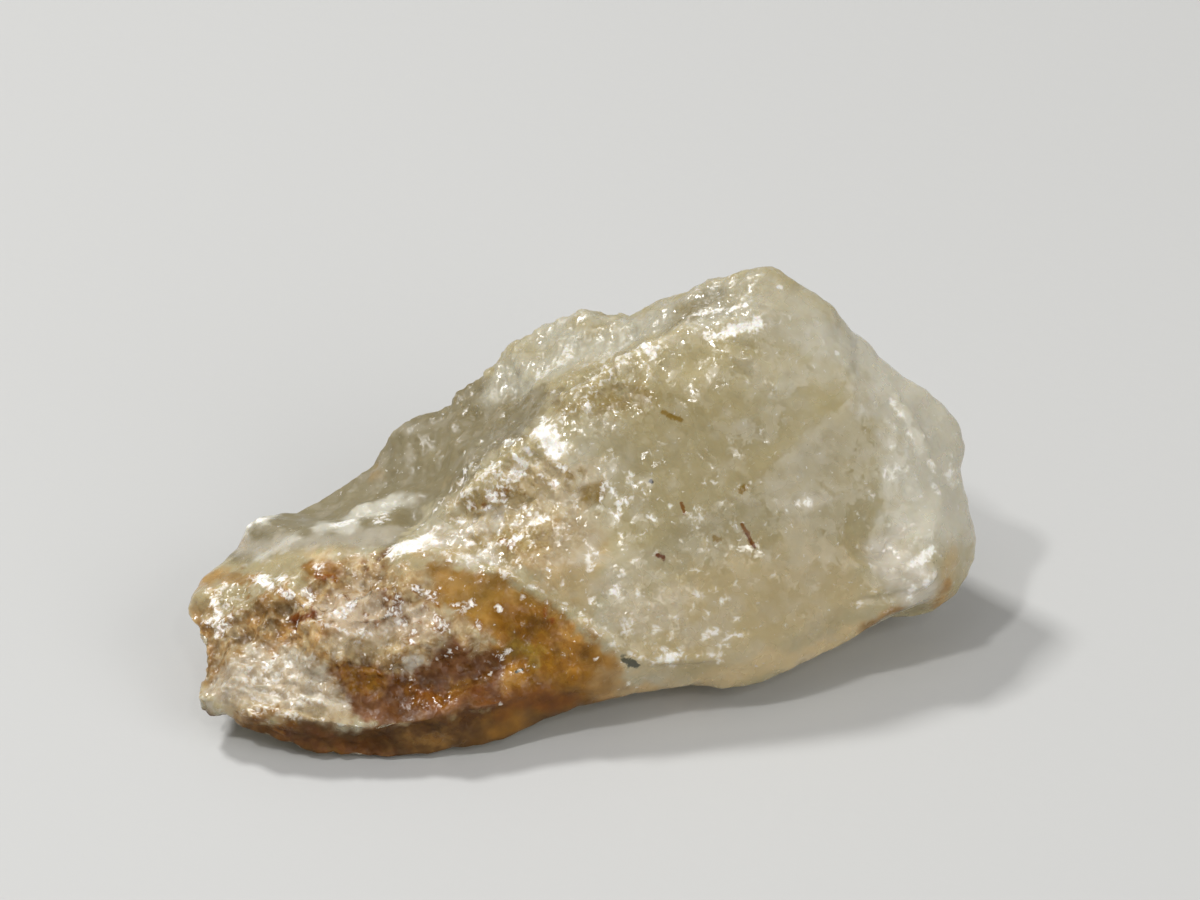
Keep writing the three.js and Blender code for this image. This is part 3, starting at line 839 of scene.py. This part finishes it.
    def creased(self, tree: BVHTree, points: np.ndarray) -> np.ndarray:
        """Works out how deep the creases are: each fades to either side as a bell curve of its width."""
        wander = 1.0 + 0.5 * octaves(points, 0.6, 67)
        depths = [
            crease.depth * wander * np.exp(-((self.away(tree, crease.line, points) / crease.width) ** 2))
            for crease in CREASES
        ]
        return np.sum(depths, axis=0)

    def tree(self, mesh: bpy.types.Mesh) -> BVHTree:
        """Returns the mesh's faces as a tree, to find places on."""
        return BVHTree.FromPolygons([v.co for v in mesh.vertices], [p.vertices for p in mesh.polygons])

    def places(self, mesh: bpy.types.Mesh) -> np.ndarray:
        """Returns the mesh's points in millimetres, one row each."""
        places = np.empty(3 * len(mesh.vertices))
        mesh.vertices.foreach_get("co", places)
        return places.reshape(-1, 3) / MM

    def normals(self, mesh: bpy.types.Mesh) -> np.ndarray:
        """Returns the outward direction at each of the mesh's points, one row each."""
        normals = np.empty(3 * len(mesh.vertices))
        mesh.vertices.foreach_get("normal", normals)
        return normals.reshape(-1, 3)

    def smoothed(self, mesh: bpy.types.Mesh, points: np.ndarray, rounds: int) -> np.ndarray:
        """Averages every point with its neighbours along the mesh's edges.

        Args:
            mesh: the mesh that says which points are neighbours.
            points: the places to average, one row each.
            rounds: how often, which sets how far the averaging reaches.

        Returns:
            The averaged places.
        """
        edges = np.empty(2 * len(mesh.edges), dtype=np.int64)
        mesh.edges.foreach_get("vertices", edges)
        first, second = edges.reshape(-1, 2).T
        count = len(points)
        near = np.bincount(first, minlength=count) + np.bincount(second, minlength=count)
        smooth = points.copy()
        for _ in range(rounds):
            total = smooth.copy()
            for axis in range(3):
                total[:, axis] += np.bincount(first, smooth[second, axis], count)
                total[:, axis] += np.bincount(second, smooth[first, axis], count)
            smooth = total / (near + 1)[:, None]
        return smooth

    def found(self, tree: BVHTree, pixel: tuple[float, float]) -> np.ndarray:
        """Finds the place on the surface that shows at a pixel of the photograph.

        Args:
            tree: the surface, in metres.
            pixel: where it is looked for. Off the stone, the nearest place to the line of sight is taken.

        Returns:
            The place, in millimetres.
        """
        eye = Vector(self.camera.eye() * MM)
        sight = Vector(self.camera.sight(pixel))
        hit = tree.ray_cast(eye, sight)[0]
        if hit is None:
            hit = tree.find_nearest(eye + sight * (self.camera.distance * MM))[0]
        return np.array(hit) / MM

    def away(self, tree: BVHTree, line: tuple[tuple[float, float], ...], points: np.ndarray) -> np.ndarray:
        """Measures how far points lie from a line drawn over the surface.

        Args:
            tree: the surface.
            line: the pixels that the line runs through.
            points: places in millimetres, one row each.

        Returns:
            Each point's distance in millimetres from the nearest of the places found along the line.
        """
        nearest = np.full(len(points), np.inf)
        for start, end in zip(line, line[1:]):
            steps = max(int(math.dist(start, end) / self.trace_step), 1)
            for share in np.linspace(0.0, 1.0, steps + 1):
                pixel = tuple(share * np.array(end) + (1.0 - share) * np.array(start))
                nearest = np.minimum(nearest, np.linalg.norm(points - self.found(tree, pixel), axis=1))
        return nearest

    def layers(
        self, points: np.ndarray, facing: np.ndarray, tree: BVHTree
    ) -> list[tuple[Hue, np.ndarray]]:
        """Works out what lies over the clouded ground: the fields, then the spots, then the patches.

        A field covers what lies inside its outline on the side that the photograph shows. A spot and a
        patch fade out at their reach. All their edges are ragged.

        Args:
            points: places in millimetres, one row each.
            facing: how squarely each point faces the photograph's camera, from -1 to 1.
            tree: the surface, to find the patches on.

        Returns:
            For each of them its hue, and how far it covers each point, from 0 to 1.
        """
        coarse, fine = octaves(points, 0.9, 47), octaves(points, 0.35, 61)
        pixels = self.camera.seen_at(points)
        layers = []
        for shown in FIELDS:
            depth = (shown.inside(pixels) + shown.ragged * (coarse + fine)) / shown.border
            layers.append((shown.hue, shown.strength * ease(0.5 + depth) * ease(4.0 * facing + 0.6)))
        for spot in SPOTS:
            away = np.linalg.norm(points - np.array(spot.at), axis=1) / spot.reach
            layers.append((spot.hue, spot.strength * ease(1.5 * (1.0 - away + spot.ragged * coarse))))
        for patch in PATCHES:
            ragged = patch.ragged * (fine if patch.reach < 0.6 or patch.sparse > 0.0 else coarse)
            away = self.away(tree, (patch.start, patch.end), points) / patch.reach
            layers.append((patch.hue, patch.strength * ease(1.5 * (1.0 - away + ragged - patch.sparse))))
        return layers

    def colours(
        self, points: np.ndarray, crest: np.ndarray, layers: list[tuple[Hue, np.ndarray]]
    ) -> tuple[np.ndarray, np.ndarray, np.ndarray, np.ndarray]:
        """Works out the stone's colour, its stain, its painted glare and its dullness at every point.

        The layers cover the clouded ground in their order, except that the frost-white layers are kept
        apart
        as glare: painted highlights, with white crumbs and pale crystals among them. Milky clouds then pale
        the clean stone. Brown gathers in the hollows and in spots of the stained, broken stone.

        Args:
            points: places in millimetres, one row each.
            crest: how far each point stands proud, in millimetres.
            layers: hues, and how far each covers every point.

        Returns:
            The colours in linear light, one row each, then the stain, the glare (painted highlights with
            white crumbs among them) and the dullness, 0 to 1.
        """
        clouds = ease(0.75 + 0.6 * octaves(points, 2.2, 41))[:, None]
        tint = Hue.CLOUD.linear() * clouds + Hue.MIST.linear() * (1.0 - clouds)
        stain = np.zeros(len(points))
        glare = np.zeros(len(points))
        dull = np.zeros(len(points))
        for hue, share in layers:
            # The white layers are kept apart as glare: mostly painted highlights, with white crumbs and
            # pale crystals among them.
            if hue is Hue.FROST_AND_GLARE:
                glare = np.maximum(glare, share)
                continue
            tint += share[:, None] * (hue.linear() - tint)
            dull += share * (DULLNESS.get(hue, 0.0) - dull)
            if hue in STAINS:
                stain = np.maximum(stain, share)
            else:
                stain *= 1.0 - share
        milk = (1.0 - ease(1.4 * stain)) * 0.18 * ease((octaves(points, 0.7, 71, 4) - 0.05) / 0.5)
        gathered = np.maximum(ease((octaves(points, 0.4, 73) - 0.1) / 0.35), ease(-crest / 0.06))
        rust = self.broken(points) * stain * 0.6 * gathered
        for hue, share in ((Hue.PEARL, milk), (Hue.EARTH, rust)):
            tint += share[:, None] * (hue.linear() - tint)
        tint *= 1.0 + 0.45 * (stain * octaves(points, 0.55, 79))[:, None]
        return tint, stain, glare, dull

    def frost(
        self, points: np.ndarray, crest: np.ndarray, stain: np.ndarray, dull: np.ndarray
    ) -> np.ndarray:
        """Works out where the break is crushed white, with painted highlight on its crests.

        It is white on crests, as crushed white and painted highlight, and in ragged spots of the frosted
        zones, and the spots are drawn out to streaks where the surface is fibrous. Stained and dull places
        have less of it.

        Args:
            points: places in millimetres, one row each.
            crest: how far each point stands proud, in millimetres.
            stain: how stained each point is, from 0 to 1.
            dull: how dull each point is, from 0 to 1.

        Returns:
            How white each point is, from 0 to 1.
        """
        strength = np.max([zone.frost * zone.strength(points) for zone in ZONES], axis=0)
        spots = ease(3.0 * (octaves(points, 0.8, 53) - 0.3))
        streaks = ease(2.2 * fibres(points, self.fibre_run, self.streak_width, 91) + 0.2)
        spots += self.combed(points) * (streaks - spots)
        # White on crests: crushed white, and painted highlight where the ridges catch the light.
        edges = ease((crest - 0.015) / 0.06)
        return strength * (1.0 - 0.6 * stain) * (1.0 - dull) * (0.5 * spots + 0.6 * edges)

    def paint(self, mesh: bpy.types.Mesh) -> BVHTree:
        """Stores with every point its colour, stain, frost with the painted highlights in it, clarity,
        brokenness, roughness and dullness.

        Args:
            mesh: the fine mesh.

        Returns:
            The surface as a tree, to place the inclusions on.
        """
        points = self.places(mesh)
        tree = self.tree(mesh)
        proud = points - self.smoothed(mesh, points, self.crest_rounds)
        crest = np.einsum("ij,ij->i", proud, self.normals(mesh))
        facing = -self.normals(mesh) @ self.camera.axes()[2]
        tint, stain, glare, dull = self.colours(points, crest, self.layers(points, facing, tree))
        # The stored frost holds the crushed white and the painted highlights of the glare.
        frost = np.clip(np.maximum(self.frost(points, crest, stain, dull), glare), 0.0, 1.0)
        clarity = np.clip(1.0 - 0.9 * frost - 0.8 * stain + 0.25 * octaves(points, 1.4, 59), 0.0, 1.0)
        matt = np.max([zone.matt * zone.strength(points) for zone in ZONES], axis=0)
        rough = self.smoothest + self.roughness_swing * ease(0.5 + 0.8 * octaves(points, 0.45, 83))
        colour = mesh.attributes.new("tint", "FLOAT_COLOR", "POINT")
        colour.data.foreach_set("color", np.column_stack([tint, np.ones(len(tint))]).ravel())
        values = {
            "stain": stain,
            "frost": frost,
            "clarity": clarity,
            "broken": self.broken(points),
            "rough": rough + matt + self.dull_roughness * dull**2,
            "dull": dull,
        }
        for name, value in values.items():
            mesh.attributes.new(name, "FLOAT", "POINT").data.foreach_set("value", value)
        return tree

    def build(self) -> bpy.types.Object:
        """Builds the stone, dresses it and puts it in its CAD solid's place.

        Returns:
            The finished piece.
        """
        mesh = self.shape()
        tree = self.paint(mesh)
        mesh.name = "herderite"
        self.piece = bpy.data.objects.new("herderite", mesh)
        bpy.context.collection.objects.link(self.piece)
        ends = [(self.found(tree, grain.start), self.found(tree, grain.end), grain) for grain in INCLUSIONS]
        mesh.materials.append(CloudyHerderite().material(ends))
        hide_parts(NODE)
        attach(self.piece, "root")
        return self.piece


# Finishes


class Sheet:
    """A material's node tree, with short ways to add nodes and join them."""

    def __init__(self, name: str) -> None:
        """Makes an empty material of this name."""
        self.material = bpy.data.materials.new(name)
        self.material.use_nodes = True
        self.tree = self.material.node_tree
        self.tree.nodes.clear()

    def add(self, kind: str, inputs: dict | None = None, **settings: object) -> bpy.types.Node:
        """Adds a node.

        Args:
            kind: the node's type.
            inputs: values or sockets for its inputs, by name or by number.
            settings: its other properties.

        Returns:
            The node.
        """
        node = self.tree.nodes.new(kind)
        for name, value in settings.items():
            setattr(node, name, value)
        for name, value in (inputs or {}).items():
            if isinstance(value, bpy.types.NodeSocket):
                self.tree.links.new(value, node.inputs[name])
            else:
                node.inputs[name].default_value = value
        return node

    def number(self, operation: str, *values: object) -> bpy.types.NodeSocket:
        """Adds a Math node on the given values or sockets, and returns its result."""
        return self.add("ShaderNodeMath", dict(enumerate(values)), operation=operation).outputs[0]

    def vector(self, operation: str, *values: object) -> bpy.types.Node:
        """Adds a Vector Math node on the given values or sockets."""
        return self.add("ShaderNodeVectorMath", dict(enumerate(values)), operation=operation)

    def between(
        self, value: object, low: float, high: float, start: float = 0.0, end: float = 1.0
    ) -> bpy.types.NodeSocket:
        """Maps a value that runs from low to high smoothly onto start to end, and returns it."""
        inputs = {"Value": value, "From Min": low, "From Max": high, "To Min": start, "To Max": end}
        return self.add("ShaderNodeMapRange", inputs, interpolation_type="SMOOTHSTEP").outputs["Result"]

    def blend(
        self, share: object, first: object, second: object, kind: str = "MIX"
    ) -> bpy.types.NodeSocket:
        """Mixes two colours by a share, and returns the mix."""
        inputs = {0: share, 6: first, 7: second}
        return self.add("ShaderNodeMix", inputs, data_type="RGBA", blend_type=kind).outputs[2]

    def attribute(self, name: str, output: str = "Fac") -> bpy.types.NodeSocket:
        """Reads an attribute of the mesh, and returns it."""
        node = self.add("ShaderNodeAttribute", attribute_name=name, attribute_type="GEOMETRY")
        return node.outputs[output]

    def place(self) -> bpy.types.NodeSocket:
        """Returns the place on the piece, in metres."""
        return self.add("ShaderNodeTexCoord").outputs["Object"]

    def noise(
        self, place: bpy.types.NodeSocket, size: float, detail: float = 3.0, swirl: float = 0.0
    ) -> bpy.types.NodeSocket:
        """Adds noise with lumps of a size in millimetres, and returns its value from 0 to 1."""
        inputs = {"Vector": place, "Scale": 1.0 / (size * MM), "Detail": detail, "Distortion": swirl}
        return self.add("ShaderNodeTexNoise", inputs).outputs["Fac"]

    def finish(self, shader: bpy.types.Node, volume: bpy.types.Node | None = None) -> bpy.types.Material:
        """Joins the shader, and the volume if there is one, to the output, and returns the material."""
        output = self.add("ShaderNodeOutputMaterial", {"Surface": shader.outputs[0]})
        if volume is not None:
            self.tree.links.new(volume.outputs[0], output.inputs["Volume"])
        return self.material


def rgba(hue: Hue) -> tuple[float, float, float, float]:
    """Returns a hue as a socket's colour."""
    return (*hue.linear(), 1.0)


@dataclass(frozen=True)
class CloudyHerderite:
    """Clouded crystal with a glassy break. Sizes are millimetres."""

    refraction: float = 1.61
    reflection: float = 0.2
    clearest: float = 0.38
    scatter_depth: float = 0.45
    scatter: float = 0.35
    absorption: tuple[float, float, float, float] = (0.85, 0.72, 0.45, 1.0)
    absorption_density: float = 70.0
    # Painted shade: the colour that darkens the grain's hollows.
    hollow_shade: tuple[float, float, float, float] = (0.72, 0.58, 0.4, 1.0)
    grain: float = 0.28
    speckle: float = 0.14
    # Where the fine noise starts to give the painted glints.
    painted_glints_from: float = 0.67
    sparkle_size: float = 0.15
    sparkle_bend: float = 0.2
    sparkle_warp: float = 0.12
    sparkle_lean: float = 0.5
    grain_bump: float = 0.16
    grain_height: float = 0.05

    def grain_marks(
        self,
        sheet: Sheet,
        place: bpy.types.NodeSocket,
        speckle: bpy.types.NodeSocket,
        colour: bpy.types.NodeSocket,
        ends: list,
    ) -> bpy.types.NodeSocket:
        """Lays the inclusions over a colour, each as the part of the surface near a short line.

        Args:
            sheet: the material's nodes.
            place: the place on the piece.
            speckle: fine noise from 0 to 1, which frays the edges.
            colour: the colour under the inclusions.
            ends: for each inclusion its two ends in millimetres, and the inclusion.

        Returns:
            The colour with the inclusions.
        """
        fray = sheet.between(speckle, 0.3, 0.7, 0.6, 1.6)
        for start, end, grain in ends:
            run = Vector((end - start) * MM)
            from_start = sheet.vector("SUBTRACT", place, Vector(start * MM)).outputs[0]
            along = sheet.vector("DOT_PRODUCT", from_start, run).outputs["Value"]
            part = sheet.add("ShaderNodeClamp", {0: sheet.number("DIVIDE", along, run.length_squared)})
            nearest = sheet.vector("SCALE", run)
            sheet.tree.links.new(part.outputs[0], nearest.inputs["Scale"])
            away = sheet.vector("DISTANCE", from_start, nearest.outputs[0]).outputs["Value"]
            ragged = sheet.number("MULTIPLY", away, fray)
            share = sheet.between(ragged, 0.6 * grain.width * MM, 1.5 * grain.width * MM, 0.95, 0.0)
            colour = sheet.blend(share, colour, rgba(grain.hue))
        return colour

    def surface_colour(self, sheet: Sheet, place: bpy.types.NodeSocket, ends: list) -> bpy.types.NodeSocket:
        """Lays the stored tint, darkens the grain's hollows with painted shade, and adds frost, painted
        glints and the inclusions.

        Args:
            sheet: the material's nodes.
            place: the place on the piece.
            ends: for each inclusion its two ends in millimetres, and the inclusion.

        Returns:
            The colour.
        """
        # Painted shade: a fine noise darkens the tint towards brown in the grain's hollows, most where the
        # stone is broken and stained.
        fine = sheet.between(sheet.noise(place, self.grain, 3.0, 0.8), 0.4, 0.62, 1.0, 0.0)
        stained = sheet.between(sheet.attribute("stain"), 0.0, 0.8, 0.25, 1.0)
        broken = sheet.between(sheet.attribute("broken"), 0.0, 1.0, 0.12, 0.9)
        depth = sheet.number("MULTIPLY", fine, sheet.number("MULTIPLY", broken, stained))
        warm = sheet.blend(depth, sheet.attribute("tint", "Color"), self.hollow_shade, "MULTIPLY")
        speckle = sheet.noise(place, self.speckle, 3.0, 0.7)
        bare = sheet.between(speckle, 0.42, 0.6, -0.75, 0.0)
        # The stored frost holds the crushed white and the painted highlights.
        crushed = sheet.number("MULTIPLY_ADD", sheet.attribute("frost"), 1.5, bare)
        glossy = sheet.between(sheet.attribute("dull"), 0.1, 0.7, 1.0, 0.0)
        # Painted glints: tiny white dots where the fine noise peaks, fewer where the stone is dull.
        painted_glints = sheet.between(speckle, self.painted_glints_from, self.painted_glints_from + 0.06, 0.0, 0.7)
        frosted = sheet.number("MAXIMUM", crushed, sheet.number("MULTIPLY", painted_glints, glossy))
        colour = sheet.blend(sheet.number("MINIMUM", frosted, 1.0), warm, rgba(Hue.FROST_AND_GLARE))
        return self.grain_marks(sheet, place, speckle, colour, ends)

    def glitter(self, sheet: Sheet, place: bpy.types.NodeSocket) -> bpy.types.NodeSocket:
        """Leans the normal another way in each small, bent cell of the break, with fine grain on top.

        Args:
            sheet: the material's nodes.
            place: the place on the piece.

        Returns:
            The normal.
        """
        inputs = {"Vector": place, "Scale": 1.0 / (self.sparkle_bend * MM), "Detail": 0.0}
        bend = sheet.add("ShaderNodeTexNoise", inputs).outputs["Color"]
        offset = sheet.vector("SCALE", sheet.vector("SUBTRACT", bend, (0.5, 0.5, 0.5)).outputs[0])
        offset.inputs["Scale"].default_value = 2.0 * self.sparkle_warp * MM
        bent = sheet.vector("ADD", place, offset.outputs[0]).outputs[0]
        cells = sheet.add("ShaderNodeTexVoronoi", {"Vector": bent, "Scale": 1.0 / (self.sparkle_size * MM)})
        lean = sheet.vector("SUBTRACT", cells.outputs["Color"], (0.5, 0.5, 0.5)).outputs[0]
        rough = sheet.between(sheet.attribute("broken"), 0.1, 0.9, 0.22, 1.0)
        leaning = sheet.vector("SCALE", lean)
        sheet.tree.links.new(sheet.number("MULTIPLY", rough, self.sparkle_lean), leaning.inputs["Scale"])
        normal = sheet.add("ShaderNodeNewGeometry").outputs["Normal"]
        turned = sheet.vector("ADD", normal, leaning.outputs[0]).outputs[0]
        inputs = {
            "Strength": sheet.between(sheet.attribute("broken"), 0.0, 1.0, 0.12, 0.4),
            "Distance": self.grain_height * MM,
            "Height": sheet.noise(place, self.grain_bump),
            "Normal": sheet.vector("NORMALIZE", turned).outputs[0],
        }
        return sheet.add("ShaderNodeBump", inputs).outputs[0]

    def material(self, ends: list) -> bpy.types.Material:
        """Makes the material.

        Args:
            ends: for each inclusion its two ends in millimetres, and the inclusion.

        Returns:
            The material.
        """
        sheet = Sheet(SLOT)
        place = sheet.place()
        clear = sheet.number("MULTIPLY", sheet.attribute("clarity"), self.clearest)
        inputs = {
            "Base Color": self.surface_colour(sheet, place, ends),
            "Roughness": sheet.attribute("rough"),
            "IOR": self.refraction,
            "Specular IOR Level": self.reflection,
            "Transmission Weight": clear,
            "Subsurface Weight": sheet.between(sheet.attribute("dull"), 0.0, 1.0, self.scatter, 0.05),
            "Subsurface Radius": (1.0, 0.75, 0.45),
            "Subsurface Scale": self.scatter_depth * MM,
            "Normal": self.glitter(sheet, place),
        }
        shader = sheet.add("ShaderNodeBsdfPrincipled", inputs)
        inside = {"Color": self.absorption, "Density": self.absorption_density}
        return sheet.finish(shader, sheet.add("ShaderNodeVolumeAbsorption", inside))


@dataclass(frozen=True)
class PaleTableTop:
    """A matt, pale surface with a faint tooth. Sizes are millimetres."""

    colour: tuple[float, float, float, float] = (0.5, 0.5, 0.49, 1.0)
    roughness: float = 0.65
    tooth: float = 0.6
    tooth_height: float = 0.05

    def material(self) -> bpy.types.Material:
        """Makes the material and returns it."""
        sheet = Sheet("pale_table_top")
        place = sheet.place()
        height = sheet.noise(place, self.tooth, 4.0)
        inputs = {"Strength": 0.15, "Distance": self.tooth_height * MM, "Height": height}
        bump = sheet.add("ShaderNodeBump", inputs).outputs[0]
        inputs = {"Base Color": self.colour, "Roughness": self.roughness, "Normal": bump}
        return sheet.finish(sheet.add("ShaderNodeBsdfPrincipled", inputs))


# The studio


@dataclass(frozen=True)
class Lamp:
    """A square soft light: the way to it from what it looks at, and its side, in millimetres."""

    name: str
    towards: tuple[float, float, float]
    side: float
    watts: float

    def place(self, middle: tuple[float, float, float]) -> bpy.types.Object:
        """Adds the light to the scene, looking at the middle, and returns it."""
        data = bpy.data.lights.new(self.name, "AREA")
        data.size = self.side * MM
        data.energy = self.watts
        lamp = bpy.data.objects.new(self.name, data)
        lamp.location = Vector(np.array(middle) + np.array(self.towards)) * MM
        lamp.rotation_euler = Vector(self.towards).to_track_quat("Z", "Y").to_euler()
        bpy.context.collection.objects.link(lamp)
        return lamp


@dataclass(frozen=True)
class Studio:
    """The table and the soft lights, which look at the stone's middle. Lengths are millimetres."""

    table_width: float = 900.0
    table_drop: float = 0.02
    middle: tuple[float, float, float] = (0.0, 0.0, 3.5)
    lamps: tuple[Lamp, ...] = (
        Lamp("window_light", (-140.0, 120.0, 270.0), 50.0, 0.68),
        Lamp("side_light", (-135.0, -95.0, 275.0), 26.0, 0.32),
        Lamp("front_light", (60.0, -200.0, 230.0), 25.0, 0.06),
        Lamp("overhead_light", (-60.0, -60.0, 300.0), 160.0, 0.08),
        Lamp("front_fill", (220.0, -180.0, 160.0), 220.0, 0.4),
    )
    sky: tuple[float, float, float, float] = (1.0, 0.99, 0.97, 1.0)
    sky_strength: float = 0.28

    def table(self) -> bpy.types.Object:
        """Makes the table top as a flat grid: x and y run evenly over its width, and z is its drop."""
        steps = np.linspace(-0.5, 0.5, 9) * self.table_width
        x, y = np.meshgrid(steps, steps, indexing="ij")
        points = np.column_stack([x.ravel(), y.ravel(), np.full(x.size, -self.table_drop)])
        number = np.arange(x.size).reshape(x.shape)
        corners = (number[:-1, :-1], number[1:, :-1], number[1:, 1:], number[:-1, 1:])
        faces = np.stack([corner.ravel() for corner in corners], axis=1)
        mesh = bpy.data.meshes.new("table_top")
        mesh.from_pydata(points * MM, [], faces.tolist())
        mesh.materials.append(PaleTableTop().material())
        table = bpy.data.objects.new("table_top", mesh)
        bpy.context.collection.objects.link(table)
        return table

    def light(self) -> None:
        """Lights the stone from the upper left and behind, with soft fill from the front and the sky."""
        for lamp in self.lamps:
            lamp.place(self.middle)
        world = bpy.data.worlds.new("studio")
        world.use_nodes = True
        background = world.node_tree.nodes["Background"]
        background.inputs["Color"].default_value = self.sky
        background.inputs["Strength"].default_value = self.sky_strength
        bpy.context.scene.world = world
        bpy.context.scene.view_settings.view_transform = "Standard"


def main() -> None:
    """Builds the stone, the table, the lights and the camera."""
    logging.basicConfig(level=logging.INFO, format="%(name)s: %(message)s")
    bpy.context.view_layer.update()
    camera = PhotoCamera()
    camera.place()
    stone = HerderiteCrystal(camera).build()
    log.info("%s: %d faces", stone.name, len(stone.data.polygons))
    studio = Studio()
    studio.table()
    studio.light()


if __name__ == "__main__":
    main()
